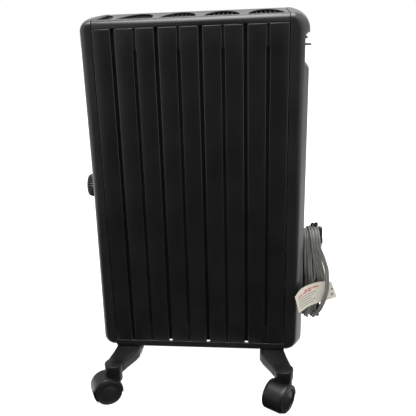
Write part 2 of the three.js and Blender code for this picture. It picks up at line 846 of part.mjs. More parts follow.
function foot(side) {
  const top = FIN_BOTTOM - GAP - RAIL_HEIGHT - GAP;
  const profile = (inset) => [
    [-150, BOSS_TOP - inset],
    [-112, BOSS_TOP - inset],
    [-80, top - inset],
    [80, top - inset],
    [112, BOSS_TOP - inset],
    [150, BOSS_TOP - inset],
  ];
  const outer = prism(
    outlineOf([...profile(0), [150, BOSS_BOTTOM], [76, 60], [64, 74], [-64, 74], [-76, 60], [-150, BOSS_BOTTOM]]),
    "x",
    -200,
    200,
  );
  const inner = prism(outlineOf([...profile(3.2), [150, 40], [-150, 40]]), "x", -200, 200);
  const [x0, x1] = side > 0 ? [FOOT_X - 21, FOOT_X + 21] : [-FOOT_X - 21, -FOOT_X + 21];
  let made = box(x0, x1, -66, 66, 75, top);
  for (const end of [-1, 1]) {
    made = made.add(prism(footPlan(side, end, 0), "z", 50, top).intersect(outer));
  }
  for (const end of [-1, 1]) {
    made = made.subtract(prism(footPlan(side, end, 3), "z", 50, top).intersect(inner));
    const at = [side * STEM_X, end * STEM_Y];
    made = made
      .add(bar("z", 10, BOSS_BOTTOM, BOSS_TOP - 1, at, 20))
      .subtract(bar("z", runningBore(STEM_RADIUS, 16), BOSS_BOTTOM - 1, BOSS_TOP - 4, at, 16));
    made = made.subtract(bar("z", 3.2, 60, 90, [side * FOOT_X, end * U_BOLT_Y], 12));
  }
  place(side < 0 ? "foot_control_end" : "foot_cord_end", made, "caster_plastic");
}
foot(-1);
foot(1);

// U-bolt over a hub, and the wing nuts that pull the foot up to it.
function footBolt(side) {
  const label = side < 0 ? "control_end" : "cord_end";
  const points = [];
  for (let i = 0; i <= 8; i += 1) {
    const angle = (Math.PI * i) / 8;
    points.push([
      side * FOOT_X,
      -Math.cos(angle) * U_BOLT_Y,
      LOWER_HUB_Z + Math.sin(angle) * U_BOLT_Y,
    ]);
  }
  const curve = new THREE.CurvePath();
  const vectors = points.map((p) => new THREE.Vector3(...p));
  const [first, last] = [vectors[0], vectors.at(-1)];
  curve.add(new THREE.LineCurve3(first.clone().setZ(64), first));
  curve.add(new THREE.CatmullRomCurve3(vectors));
  curve.add(new THREE.LineCurve3(last, last.clone().setZ(64)));
  const section = outlineOf(
    Array.from({ length: 8 }, (_, i) => {
      const angle = (Math.PI * (i + 0.5)) / 4;
      return [2.4 * Math.cos(angle), 2.4 * Math.sin(angle)];
    }),
  );
  const route = new THREE.CatmullRomCurve3(curve.getSpacedPoints(24));
  const made = solid(
    new THREE.ExtrudeGeometry(section, { steps: 24, bevelEnabled: false, extrudePath: route }),
  );
  place(`u_bolt_${label}`, made, "steel");
  for (const end of [-1, 1]) {
    const at = [side * FOOT_X, end * U_BOLT_Y];
    const hub = bar("z", 6, 67, 74.6, at, 12);
    const wings = [-1, 1].map((s) =>
      prism(
        outlineOf([
          [at[0] + s * 4, 68],
          [at[0] + s * 13, 62, 1],
          [at[0] + s * 14, 70, 2],
          [at[0] + s * 5, 74],
        ]),
        "y",
        at[1] - 1.4,
        at[1] + 1.4,
      ),
    );
    const nut = join(hub, ...wings).subtract(bar("z", 2.8, 60, 80, at, 12));
    place(`wing_nut_${label}_${end < 0 ? "front" : "rear"}`, nut, "steel");
  }
}
footBolt(-1);
footBolt(1);

// ---------------------------------------------------------------- casters
// Built with the stem on the group's Z axis, trailing towards its own -X.
function sector(radius, from, to) {
  const shape = new THREE.Shape();
  shape.moveTo(-CASTER_TRAIL, WHEEL_APOTHEM);
  const steps = 13;
  for (let i = 0; i <= steps; i += 1) {
    const angle = THREE.MathUtils.degToRad(from + ((to - from) * i) / steps);
    shape.lineTo(
      -CASTER_TRAIL + Math.cos(angle) * radius,
      WHEEL_APOTHEM + Math.sin(angle) * radius,
    );
  }
  shape.closePath();
  return shape;
}

function casterHood() {
  const from = -8;
  const to = 215;
  const half = HOOD_HALF_WIDTH;
  const shell = prism(sector(HOOD_RADIUS, from, to), "y", -half, half).subtract(
    bar("y", HOOD_RADIUS - 2.3, -half - 1, half + 1, [-CASTER_TRAIL, WHEEL_APOTHEM], 24),
  );
  const web = prism(sector(HOOD_RADIUS - 1, from, to), "y", -2.5, 2.5);
  const neck = bar("z", 11, 40, BOSS_BOTTOM - 0.5, [0, 0], 14).subtract(
    bar("y", HOOD_RADIUS - 2.3, -half - 1, half + 1, [-CASTER_TRAIL, WHEEL_APOTHEM], 24),
  );
  const hub = bar("y", 8, -2.5, 2.5, [-CASTER_TRAIL, WHEEL_APOTHEM], 16);
  return join(shell, web, neck, hub)
    .subtract(bar("y", runningBore(AXLE_RADIUS, 16), -5, 5, [-CASTER_TRAIL, WHEEL_APOTHEM], 16))
    .subtract(bar("z", STEM_RADIUS + GAP, 49.7, 60, [0, 0], 12));
}

function casterWheels() {
  const half = Math.PI / WHEEL_SIDES;
  const wheels = [-1, 1].map((side) => {
    const wheel = new THREE.CylinderGeometry(WHEEL_RADIUS, WHEEL_RADIUS, WHEEL_WIDTH, WHEEL_SIDES);
    wheel.rotateY(half).translate(-CASTER_TRAIL, side * (3 + WHEEL_WIDTH / 2), WHEEL_APOTHEM);
    const dish = bar(
      "y",
      17,
      side > 0 ? WHEEL_WIDTH : -WHEEL_WIDTH - 5,
      side > 0 ? WHEEL_WIDTH + 5 : -WHEEL_WIDTH,
      [-CASTER_TRAIL, WHEEL_APOTHEM],
      14,
    );
    return solid(wheel).subtract(dish);
  });
  return join(...wheels, bar("y", AXLE_RADIUS, -6, 6, [-CASTER_TRAIL, WHEEL_APOTHEM], 16));
}

// Trail direction of each caster at rest, in degrees from +X.
const CASTERS = [
  ["control_front", -1, -1, 205],
  ["control_rear", -1, 1, 155],
  ["cord_front", 1, -1, 237],
  ["cord_rear", 1, 1, 130],
];
for (const [label, sideX, sideY, heading] of CASTERS) {
  const caster = new THREE.Group();
  caster.position.set(sideX * STEM_X, sideY * STEM_Y, 0);
  caster.rotation.z = THREE.MathUtils.degToRad(heading - 180);
  body.add(caster);
  const stem = bar("z", STEM_RADIUS, 50, BOSS_TOP - 4.4, [0, 0], 12);
  place(`caster_stem_${label}`, stem, "steel", caster);
  place(`caster_hood_${label}`, casterHood(), "caster_plastic", caster);
  place(`caster_wheels_${label}`, casterWheels(), "wheel_plastic", caster);
}

export default heater;
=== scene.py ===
import json
import math
import random

import bmesh
import bpy
from mathutils import Matrix, Vector


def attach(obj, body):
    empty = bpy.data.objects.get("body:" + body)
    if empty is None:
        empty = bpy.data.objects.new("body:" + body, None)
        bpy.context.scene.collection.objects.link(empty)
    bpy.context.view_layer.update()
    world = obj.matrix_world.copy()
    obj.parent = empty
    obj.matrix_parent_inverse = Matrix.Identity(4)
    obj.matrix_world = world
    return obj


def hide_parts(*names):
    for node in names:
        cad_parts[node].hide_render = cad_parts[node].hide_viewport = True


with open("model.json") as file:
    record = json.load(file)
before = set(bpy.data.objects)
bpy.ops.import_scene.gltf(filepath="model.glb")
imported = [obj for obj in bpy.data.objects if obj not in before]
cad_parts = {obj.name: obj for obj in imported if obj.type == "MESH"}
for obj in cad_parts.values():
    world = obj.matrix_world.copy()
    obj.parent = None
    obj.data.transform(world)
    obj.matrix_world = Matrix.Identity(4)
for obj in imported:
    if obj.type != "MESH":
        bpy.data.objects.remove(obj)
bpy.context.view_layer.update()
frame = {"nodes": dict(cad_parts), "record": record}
random.seed(7)

# ------------------------------------------------------------ sizes, in millimetres
SHIFT = -11.8  # from the fins' middle to the row's origin
FRONT = -78.0
FIN_BOTTOM = 93.5
FIN_TOP = 660.5
FIN_X = (-154.0, -87.3, -17.3, 52.7, 122.7)
LOWER_HUB = 138.5
UPPER_HUB = 615.5
CAP_INNER = 156.2
CAP_BOTTOM = 81.3
CAP_TOP = 673.8
LEFT_OUTER = 185.3
RIGHT_OUTER = 190.5
KNOB_FACE = 202.4
KNOB_Z = 375.6
KNOB_RADIUS = 21.3
SWITCH_Z = (432.0, 462.0)
LAMP_Z = 486.0
STEM_X = 153.6
STEM_Y = 126.6
TRAIL = 16.0
AXLE_Z = 25.0
UPPER_ARC = 265.3
LOWER_ARC = 141.0
GLAND_Y = 40.0
# ending of the names, side in x and in y, and the heading in degrees
CASTERS = (
    ("control_front", -1, -1, 205),
    ("control_rear", -1, 1, 155),
    ("cord_front", 1, -1, 237),
    ("cord_rear", 1, 1, 130),
)


def metres(p):
    return ((p[0] + SHIFT) / 1000, p[1] / 1000, p[2] / 1000)


# ------------------------------------------------------------ camera
CAMERA_PLACE = (95.08, -1103.8, 740.7)
AZIMUTH = 8.1073  # degrees to the left of straight ahead
ELEVATION = 20.2408  # degrees down
ROLL = -2.849

camera_data = bpy.data.cameras.new("camera")
camera_data.sensor_width = 36.0
camera_data.lens = 55.36
camera_data.shift_x = 0.10337
camera_data.clip_end = 50
camera = bpy.data.objects.new("camera", camera_data)
bpy.context.scene.collection.objects.link(camera)
bpy.context.scene.camera = camera
bpy.context.scene.view_settings.view_transform = "Standard"
turn = Matrix.Rotation(math.radians(AZIMUTH), 4, "Z")
turn = turn @ Matrix.Rotation(math.radians(90 - ELEVATION), 4, "X")
turn = turn @ Matrix.Rotation(math.radians(ROLL), 4, "Z")
camera.matrix_world = Matrix.Translation(metres(CAMERA_PLACE)) @ turn


# ------------------------------------------------------------ materials
GLOSS_SPREAD = 0.08


def material(name, color, rough, metal=0.0, tint=0.15, grain=900, bump=0.06, patch=14, coat=0.0,
             stretch=(1, 1, 1), shine=0.5):
    """Painted, moulded or metal surface: fine grain bump, soft patches of colour and gloss."""
    made = bpy.data.materials.new(name)
    made.use_nodes = True
    nodes = made.node_tree.nodes
    links = made.node_tree.links
    shader = nodes["Principled BSDF"]
    shader.inputs["Metallic"].default_value = metal
    shader.inputs["Coat Weight"].default_value = coat
    shader.inputs["Specular IOR Level"].default_value = shine
    place = nodes.new("ShaderNodeTexCoord")
    scale = nodes.new("ShaderNodeMapping")
    scale.inputs["Scale"].default_value = stretch
    links.new(place.outputs["Object"], scale.inputs["Vector"])
    patches = nodes.new("ShaderNodeTexNoise")
    patches.inputs["Scale"].default_value = patch
    patches.inputs["Detail"].default_value = 6
    fine = nodes.new("ShaderNodeTexNoise")
    fine.inputs["Scale"].default_value = grain
    fine.inputs["Detail"].default_value = 3
    links.new(scale.outputs["Vector"], patches.inputs["Vector"])
    links.new(scale.outputs["Vector"], fine.inputs["Vector"])
    colors = nodes.new("ShaderNodeValToRGB")
    low = [c * (1 - tint) for c in color]
    high = [min(1.0, c * (1 + tint)) for c in color]
    colors.color_ramp.elements[0].position = 0.35
    colors.color_ramp.elements[1].position = 0.65
    colors.color_ramp.elements[0].color = (*low, 1)
    colors.color_ramp.elements[1].color = (*high, 1)
    links.new(patches.outputs["Fac"], colors.inputs["Fac"])
    links.new(colors.outputs["Color"], shader.inputs["Base Color"])
    gloss = nodes.new("ShaderNodeMapRange")
    gloss.inputs["To Min"].default_value = max(0.02, rough - GLOSS_SPREAD)
    gloss.inputs["To Max"].default_value = min(1.0, rough + GLOSS_SPREAD)
    links.new(patches.outputs["Fac"], gloss.inputs["Value"])
    links.new(gloss.outputs["Result"], shader.inputs["Roughness"])
    relief = nodes.new("ShaderNodeBump")
    relief.inputs["Strength"].default_value = bump
    relief.inputs["Distance"].default_value = 0.0006
    links.new(fine.outputs["Fac"], relief.inputs["Height"])
    links.new(relief.outputs["Normal"], shader.inputs["Normal"])
    return made


LOOKS = {
    "fin_paint": dict(color=(0.0032, 0.0034, 0.0035), rough=0.34, grain=700, bump=0.1, shine=0.4),
    "cover_plastic": dict(color=(0.0055, 0.0056, 0.0056), rough=0.34, grain=1500, bump=0.22, shine=0.38),
    "caster_plastic": dict(color=(0.0036, 0.0036, 0.0037), rough=0.38, grain=1400, bump=0.25, shine=0.22),
    "wheel_plastic": dict(color=(0.0085, 0.0085, 0.0085), rough=0.42, grain=1100, bump=0.25, tint=0.3,
                          shine=0.25),
    "control_plastic": dict(color=(0.003, 0.003, 0.0032), rough=0.34, grain=1300, bump=0.15, shine=0.3),
    "steel": dict(color=(0.42, 0.43, 0.45), rough=0.36, metal=1.0, grain=500, stretch=(1, 1, 6)),
    "brass": dict(color=(0.62, 0.45, 0.18), rough=0.3, metal=1.0, grain=500),
    "bakelite": dict(color=(0.03, 0.02, 0.014), rough=0.5, grain=900, bump=0.2, shine=0.3),
    "rocker_red": dict(color=(0.35, 0.01, 0.008), rough=0.28, grain=1200),
    "lamp_lens": dict(color=(0.65, 0.16, 0.02), rough=0.18, grain=300, coat=0.5),
    "cord_pvc": dict(color=(0.1, 0.099, 0.091), rough=0.5, grain=1400, bump=0.25, patch=40, tint=0.12,
                     shine=0.35),
    "tag_paper": dict(color=(0.33, 0.315, 0.26), rough=0.55, grain=800, bump=0.2, patch=60, tint=0.06),
    "print_red": dict(color=(0.3, 0.025, 0.035), rough=0.6, grain=800, bump=0.1),
    "print_grey": dict(color=(0.09, 0.09, 0.09), rough=0.6, grain=800, bump=0.1),
    # vent bars: the cover's plastic made darker and duller, painted shade for the grille sunk inside the
    # vents
    "vent_painted_shade": dict(color=(0.0025, 0.0025, 0.0026), rough=0.5, grain=1500, bump=0.2, shine=0.15),
    "tie_wire": dict(color=(0.001, 0.001, 0.001), rough=0.7, grain=1300, bump=0.2, shine=0.1),
    "mark_white": dict(color=(0.7, 0.7, 0.68), rough=0.5, grain=800, bump=0.1, tint=0.05),
}
MATERIALS = {name: material(name, **look) for name, look in LOOKS.items()}


# ------------------------------------------------------------ mesh helpers
def tidy(mesh, smooth):
    """Joins doubled points and shades smooth where faces meet at less than the angle."""
    bm = bmesh.new()
    bm.from_mesh(mesh)
    bmesh.ops.remove_doubles(bm, verts=bm.verts, dist=1e-6)
    bmesh.ops.dissolve_degenerate(bm, edges=bm.edges, dist=1e-6)
    bmesh.ops.recalc_face_normals(bm, faces=bm.faces)
    for face in bm.faces:
        face.smooth = True
    for edge in bm.edges:
        if len(edge.link_faces) == 2:
            edge.smooth = edge.calc_face_angle(0) < math.radians(smooth)
    bm.to_mesh(mesh)
    bm.free()


def raw(name, solids):
    """An object from a list of (points, faces) solids, in millimetres."""
    points = []
    faces = []
    for some_points, some_faces in solids:
        base = len(points)
        points += [metres(p) for p in some_points]
        faces += [tuple(i + base for i in face) for face in some_faces]
    mesh = bpy.data.meshes.new(name)
    mesh.from_pydata(points, [], faces)
    tidy(mesh, 180)
    made = bpy.data.objects.new(name, mesh)
    bpy.context.scene.collection.objects.link(made)
    return made


def applied(obj):
    """Bakes the object's modifiers into its mesh."""
    bpy.context.view_layer.update()
    evaluated = obj.evaluated_get(bpy.context.evaluated_depsgraph_get())
    mesh = bpy.data.meshes.new_from_object(evaluated)
    obj.modifiers.clear()
    obj.data = mesh
    return obj


def cut(obj, cutter, operation="DIFFERENCE"):
    step = obj.modifiers.new("cut", "BOOLEAN")
    step.operation = operation
    step.solver = "MANIFOLD"
    step.object = cutter
    applied(obj)
    bpy.data.objects.remove(cutter)
    return obj


def bevelled(obj, width, segments=2, angle=35):
    step = obj.modifiers.new("bevel", "BEVEL")
    step.width = width / 1000
    step.segments = segments
    step.limit_method = "ANGLE"
    step.angle_limit = math.radians(angle)
    return applied(obj)


def piece(obj, finish, body="heater_body", nodes=(), smooth=38):
    """Names the material and the body of a piece, and the CAD nodes it stands for."""
    tidy(obj.data, smooth)
    obj.data.materials.clear()
    obj.data.materials.append(MATERIALS[finish])
    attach(obj, body)
    if nodes:
        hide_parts(*nodes)
    return obj


def rounded(corners, steps=6):
    """Outline through (u, v, radius) corners with true arcs."""
    points = []
    for i, corner in enumerate(corners):
        p = Vector(corner[:2])
        radius = corner[2] if len(corner) > 2 else 0
        if not radius:
            points.append(tuple(p))
            continue
        a = (Vector(corners[i - 1][:2]) - p).normalized()
        b = (Vector(corners[(i + 1) % len(corners)][:2]) - p).normalized()
        half = a.angle(b) / 2
        centre = p + (a + b).normalized() * (radius / math.sin(half))
        start = p + a * (radius / math.tan(half)) - centre
        end = p + b * (radius / math.tan(half)) - centre
        sweep = start.angle(end)
        for k in range(steps + 1):
            t = k / steps
            arm = (start * math.sin((1 - t) * sweep) + end * math.sin(t * sweep)) / math.sin(sweep)
            points.append(tuple(centre + arm))
    return points


def rectangle(u0, u1, v0, v1, radius=0.0, steps=5):
    return rounded([(u0, v0, radius), (u1, v0, radius), (u1, v1, radius), (u0, v1, radius)], steps)


def ellipse(u, v, ru, rv, count=48):
    angles = [2 * math.pi * i / count for i in range(count)]
    return [(u + ru * math.cos(a), v + rv * math.sin(a)) for a in angles]


def spot(axis, u, v, w):
    """Point with outline coordinates u, v and depth w along the axis."""
    return {"x": (w, u, v), "y": (u, w, v), "z": (u, v, w)}[axis]


def loft(rings, closed=False):
    """Solid skinned over rings of equal point count; closed joins the last ring to the first."""
    count = len(rings[0])
    points = [p for ring in rings for p in ring]
    faces = []
    spans = len(rings) if closed else len(rings) - 1
    for k in range(spans):
        a = k * count
        b = ((k + 1) % len(rings)) * count
        for i in range(count):
            j = (i + 1) % count
            faces.append((a + i, a + j, b + j, b + i))
    if not closed:
        faces.append(tuple(range(count)))
        faces.append(tuple(range((len(rings) - 1) * count, len(rings) * count)))
    return points, faces


def prism(outline, axis, low, high):
    return loft([[spot(axis, u, v, w) for u, v in outline] for w in (low, high)])


def box(x0, x1, y0, y1, z0, z1):
    return prism([(x0, y0), (x1, y0), (x1, y1), (x0, y1)], "z", z0, z1)


RIPPLE_FROM = 17  # ribs stand only on the parts of a profile wider than this


def turned(profile, axis, centre, sides=48, ripple=0.0, ribs=0):
    """Closed (radius, w) profile turned about an axis through centre (u, v)."""
    rings = []
    for i in range(sides):
        angle = 2 * math.pi * i / sides
        ring = []
        for radius, w in profile:
            r = radius + (ripple * math.cos(ribs * angle) if radius > RIPPLE_FROM else 0)
            ring.append(spot(axis, centre[0] + r * math.cos(angle), centre[1] + r * math.sin(angle), w))
        rings.append(ring)
    return loft(rings, closed=True)


def drum(axis, radius, low, high, centre, edge=0.0, sides=32):
    outline = [(radius * math.cos(2 * math.pi * i / sides), radius * math.sin(2 * math.pi * i / sides))
               for i in range(sides)]
    levels = [(low, radius - edge), (low + edge * 0.3, radius - edge * 0.3), (low + edge, radius),
              (high - edge, radius), (high - edge * 0.3, radius - edge * 0.3), (high, radius - edge)]
    if not edge:
        levels = [(low, radius), (high, radius)]
    rings = []
    for w, r in levels:
        k = r / radius
        rings.append([spot(axis, centre[0] + u * k, centre[1] + v * k, w) for u, v in outline])
    return loft(rings)


def swept(path, section, up=(0, 0, 1)):
    """Section (across, along up) swept along a list of points, with the frame carried along."""
    rings = []
    points = [Vector(p) for p in path]
    lift = Vector(up)
    for i, p in enumerate(points):
        ahead = points[min(i + 1, len(points) - 1)] - points[max(i - 1, 0)]
        ahead.normalize()
        lift = (lift - ahead * lift.dot(ahead)).normalized()
        side = ahead.cross(lift)
        rings.append([tuple(p + side * a + lift * b) for a, b in section])
    return loft(rings)


def between(points, i, t):
    """Point at part t of the way from point i to the next, on a Catmull-Rom curve."""
    p0, p1 = Vector(points[max(i - 1, 0)]), Vector(points[i])
    p2, p3 = Vector(points[i + 1]), Vector(points[min(i + 2, len(points) - 1)])
    return 0.5 * (2 * p1 + (p2 - p0) * t + (2 * p0 - 5 * p1 + 4 * p2 - p3) * t * t
                  + (3 * p1 - p0 - 3 * p2 + p3) * t * t * t)


def smooth_path(points, spacing):
    """Curve through the points, in steps of about the spacing."""
    made = []
    for i in range(len(points) - 1):
        steps = max(1, round((Vector(points[i + 1]) - Vector(points[i])).length / spacing))
        made += [between(points, i, k / steps) for k in range(steps)]
    return made + [Vector(points[-1])]


# ------------------------------------------------------------ supply cord
GLAND_X = 197
PLUG_X = 215
PLUG_Y = 38
CORD_EXIT = (GLAND_X, GLAND_Y, 193)
CORE = 2.0  # radius of one of the cord's two cores
CORE_ARC = 158  # degrees each way round a core, up to the groove
HALF_TURN = 6  # steps round a hook
# Each turn of the wound cord: x and radius under the lower hook, points up the front,
# x at the front and back of the upper hook and the radius over it, and the sway down the back.
TURNS = (
    ((195.2, 23.6), ((197.6, -25, 168), (198.1, -25.4, 198), (196.2, -25.4, 218), (194.9, -24.6, 238)),
     (194.7, 194.7, 22.8), 1),
    ((203.4, 23.6), ((203.6, -27, 168), (203.5, -28.6, 198), (202.3, -28.6, 218), (201.3, -26.5, 238)),
     (202.0, 202.4, 22.8), 4),
    ((211.7, 23.6), ((217, -26.6, 168), (219.6, -27.4, 196), (216.2, -27, 218), (211, -27, 238)),
     (207.0, 197.5, 26.2), 18),
    ((199.4, 28.3), ((220, -28.6, 168), (226.6, -30.6, 194), (224.6, -30.4, 216), (219, -29.6, 238)),
     (212.4, 203.6, 27.2), 21),
    ((207.8, 28.3), ((220.9, -34, 140.5), (224.8, -39, 153.8), (228.2, -42, 166), (232.2, -43, 187),
                     (232.4, -42, 206.6), (230.9, -39, 225), (226.8, -36, 239.4), (223, -34, 250.3)),
     (217.0, 208.6, 28.6), 0),
)


def cord_route():
    """From the gland's sleeve, round both hooks, over the top and down to the plug."""
    points = [CORD_EXIT, (GLAND_X, GLAND_Y, 175), (196.4, 36.5, 158), (195.6, 28.5, 147)]
    for index, ((x, r), front, (ahead, behind, over), sway) in enumerate(TURNS):
        last = index == len(TURNS) - 1
        for k in range(0 if index else 1, HALF_TURN + (0 if last else 1)):
            angle = math.pi * k / HALF_TURN
            shift = max(0, k - 2) * 1.9 if last else 0
            points.append((x + shift, r * math.cos(angle), LOWER_ARC - r * math.sin(angle)))
        points += front
        for k in range(HALF_TURN + 1):
            angle = math.pi * k / HALF_TURN
            points.append((ahead + (behind - ahead) * k / HALF_TURN, -over * math.cos(angle),
                           UPPER_ARC + over * math.sin(angle)))
        if not last:
            x, r = TURNS[index + 1][0]
            points.append((behind * 0.6 + x * 0.4 + sway * 0.8, over * 0.6 + r * 0.4, 222))
            points.append((behind * 0.25 + x * 0.75 + sway, over * 0.25 + r * 0.75, 180))
    return points + [(210.6, 32.5, 250), (214, 37, 232), (PLUG_X, PLUG_Y, 212), (PLUG_X, PLUG_Y, 196.4)]


def cord_section():
    """Flat ribbed cord: two cores side by side, 8 mm by 4 mm."""
    points = []
    for side in (1, -1):
        for k in range(11):
            angle = math.radians(-CORE_ARC + 2 * CORE_ARC * k / 10)
            points.append((side * (CORE + CORE * math.cos(angle)), side * CORE * math.sin(angle)))
    return points


path = smooth_path(cord_route(), 3.5)
cord = raw("supply_cord", [swept(path, cord_section(), up=(0, 1, 0.2))])
piece(cord, "cord_pvc", nodes=("supply_cord_lead", "supply_cord_hank", "supply_cord_tail"), smooth=70)

# ------------------------------------------------------------ plug and gland
plug_neck = []
for k in range(7):
    w = 196.0 - 2.6 * k
    r = 4.4 + 0.35 * k
    plug_neck.append(drum("z", r + 0.5, w - 1.7, w, (PLUG_X, PLUG_Y), 0.4, 24))
    plug_neck.append(drum("z", r - 0.5, w - 2.7, w - 1.5, (PLUG_X, PLUG_Y), 0, 24))
grip = prism(rounded([(207, 184, 4), (203.5, 162, 4), (203.5, 154, 3), (226.5, 154, 3),
                      (226.5, 162, 4), (223, 184, 4)]), "y", 32, 46)
plug = raw("plug", [grip])
bevelled(plug, 2.4, 4)
neck = raw("plug_neck", plug_neck)
piece(neck, "control_plastic")
piece(plug, "control_plastic", nodes=("plug_body",))

gland = raw("gland", [prism(rectangle(GLAND_Y - 8, GLAND_Y + 8, 218, 242, 4), "x", 190.8, 204)])
bevelled(gland, 1.8, 3)
ribs = [drum("z", 5.0 + 0.16 * k, 193.6 + 3.4 * k, 196.0 + 3.4 * k, (GLAND_X, GLAND_Y), 0.5, 28)
        for k in range(8)]
core = drum("z", 4.9, 193.4, 220, (GLAND_X, GLAND_Y), 0, 28)
sleeve = raw("gland_sleeve", ribs + [core])
piece(sleeve, "control_plastic")
piece(gland, "control_plastic", nodes=("cord_gland",))

# ------------------------------------------------------------ paper tag and cord tie
# points along the tag's upper and lower edges, from its rear end to its front end
TAG_TOP = ((172.2, -92, 197.8), (181.1, -84, 207.5), (192.5, -70, 208.3), (206.3, -52, 204.6),
           (220.1, -38, 200.8), (231.3, -33, 200), (241.9, -28, 195.6))
TAG_BOTTOM = ((180.1, -90, 165.1), (187.5, -82, 166.8), (197.3, -69, 166.8), (208.6, -52, 162.7),
              (221.6, -38, 159.4), (236.4, -33, 161.6), (253, -28, 165))
TAG_STEPS = 8  # steps between two points of an edge
TAG_THICKNESS = 0.5
PRINT_THICKNESS = 0.12


def tag_edge(points):
    """Curve with the same number of steps between each two points."""
    spans = range(len(points) - 1)
    return [between(points, i, k / TAG_STEPS) for i in spans for k in range(TAG_STEPS)] + [Vector(points[-1])]


def tag_strip(low, high, start, end, offset, thickness):
    """Strip of the tag between two parts of its height, along part of its curved length."""
    top, bottom = tag_edge(TAG_TOP), tag_edge(TAG_BOTTOM)
    count = len(top) - 1
    rings = []
    for i in range(round(start * count), round(end * count) + 1):
        before, after = max(i - 1, 0), min(i + 1, count)
        out = (bottom[after] - bottom[before]).cross(top[i] - bottom[i]).normalized()
        inner, outer = out * offset, out * (offset + thickness)
        lower, upper = bottom[i].lerp(top[i], low), bottom[i].lerp(top[i], high)
        rings.append([tuple(lower + inner), tuple(lower + outer), tuple(upper + outer), tuple(upper + inner)])
    return loft(rings)


def print_bar(low, high, start, end):
    return tag_strip(low, high, start, end, TAG_THICKNESS, PRINT_THICKNESS)


tag = raw("tag", [tag_strip(0, 1, 0, 1, 0, TAG_THICKNESS)])
piece(tag, "tag_paper", nodes=("cord_tag",), smooth=60)
red = [print_bar(0.79, 0.85, u, v) for u, v in ((0.27, 0.35), (0.38, 0.46), (0.48, 0.62))]
red += [print_bar(0.7, 0.76, u, v) for u, v in ((0.09, 0.21), (0.23, 0.34), (0.36, 0.44))]
grey = [print_bar(0.58 - 0.11 * k, 0.61 - 0.11 * k, 0.08, 0.56 - 0.05 * (k % 3)) for k in range(5)]
grey += [print_bar(v, v + 0.13, u, u + 0.04) for u, v in ((0.83, 0.55), (0.91, 0.5), (0.9, 0.2))]
tag_red = piece(raw("tag_red_bars", red), "print_red", smooth=60)
tag_grey = piece(raw("tag_grey_bars", grey), "print_grey", smooth=60)

tie_path = [(206, -2, 296.2), (204.2, -3, 298.4), (206.6, -1, 300.2), (210, 0, 298.2), (213.4, 1, 300.2),
            (215.4, -1, 298.4), (213.4, -3, 296.2), (210, -1, 297.2)]
tie = raw("cord_tie_twist", [swept(smooth_path(tie_path, 1.0), ellipse(0, 0, 1.7, 1.6, 12))])
piece(tie, "tie_wire", nodes=("cord_tie",), smooth=60)


# ------------------------------------------------------------ fins
FOLD = 1.4  # thickness of a fin's folded edge
GROOVE_LOW = 126.3  # the groove between two panels opens between these heights
GROOVE_HIGH = 625.7
GROOVE_OPENING = 1.15
CHANNEL_HALF = 29  # half width of the oil channel
WEB_HALF = 67
HUB_BORE = 12
REACH = 32.25  # from a fin's middle to its outer edges
FIRST_REACH = 28.95
LAST_REACH = 32.85


def panel(x, side, rear, reach, slotted, inner=1.6):
    """One folded half of a fin's face, with a rounded edge, a return and a groove wall."""
    depth = -1 if rear else 1
    # height, how far the face steps back, and how far the groove has opened
    levels = [(FIN_BOTTOM, 0.9, 0), (FIN_BOTTOM + 0.5, 0.3, 0), (FIN_BOTTOM + 1.2, 0, 0), (GROOVE_LOW, 0, 0),
              (GROOVE_LOW + 0.5, 0, 0.3), (GROOVE_LOW + 1.3, 0, 0.8), (GROOVE_LOW + 2.7, 0, 1), (376, 0, 1),
              (GROOVE_HIGH - 2.7, 0, 1), (GROOVE_HIGH - 1.3, 0, 0.8), (GROOVE_HIGH - 0.5, 0, 0.3),
              (GROOVE_HIGH, 0, 0), (FIN_TOP - 2, 0, 0), (FIN_TOP - 1.2, 0.2, 0), (FIN_TOP - 0.5, 0.6, 0),
              (FIN_TOP, 1.2, 0)]
    rings = []
    for z, back, opening in levels:
        edge = inner + (GROOVE_OPENING * opening if slotted else 0)
        outer = rounded([(reach, 6 + back, 0.4), (reach, back, 2.0), (edge, back, 1.4), (edge, 6.6, 0.3),
                         (edge + FOLD, 6.6, 0.3), (edge + FOLD, back + FOLD, 0.5),
                         (reach - FOLD, back + FOLD, 0.9), (reach - FOLD, 6 + back, 0.4)], 3)
        rings.append([(x + side * u, depth * (FRONT + v), z) for u, v in outer])
    return loft(rings)


def groove_floor(x, rear):
    """Middle strips between the halves of a face: one down to the web, and a shallow one at each end."""
    depth = -1 if rear else 1
    y0, y1 = sorted((depth * (FRONT + 5.2), depth * (FRONT + 14)))
    deep = box(x - 3.6, x + 3.6, y0, y1, FIN_BOTTOM - 4, FIN_TOP - 0.4)
    y0, y1 = sorted((depth * (FRONT + 2.6), depth * (FRONT + 5.4)))
    ends = ((FIN_BOTTOM + 0.6, GROOVE_LOW + 0.5), (GROOVE_HIGH - 0.5, FIN_TOP - 1.2))
    return [deep] + [box(x - 2.6, x + 2.6, y0, y1, low, high) for low, high in ends]


def edge_lip(x, reach, rear):
    """Lip that runs behind the next fin's edge and closes the gap."""
    depth = -1 if rear else 1
    outline = [(x + reach - FOLD, depth * (FRONT + v)) for v in (5.6, 8.4)]
    outline += [(x + reach + 8.5, depth * (FRONT + v)) for v in (8.4, 7.0)]
    outline += [(x + reach, depth * (FRONT + 7.0)), (x + reach, depth * (FRONT + 5.6))]
    return prism(outline, "z", FIN_BOTTOM - 0.2, FIN_TOP - 0.2)


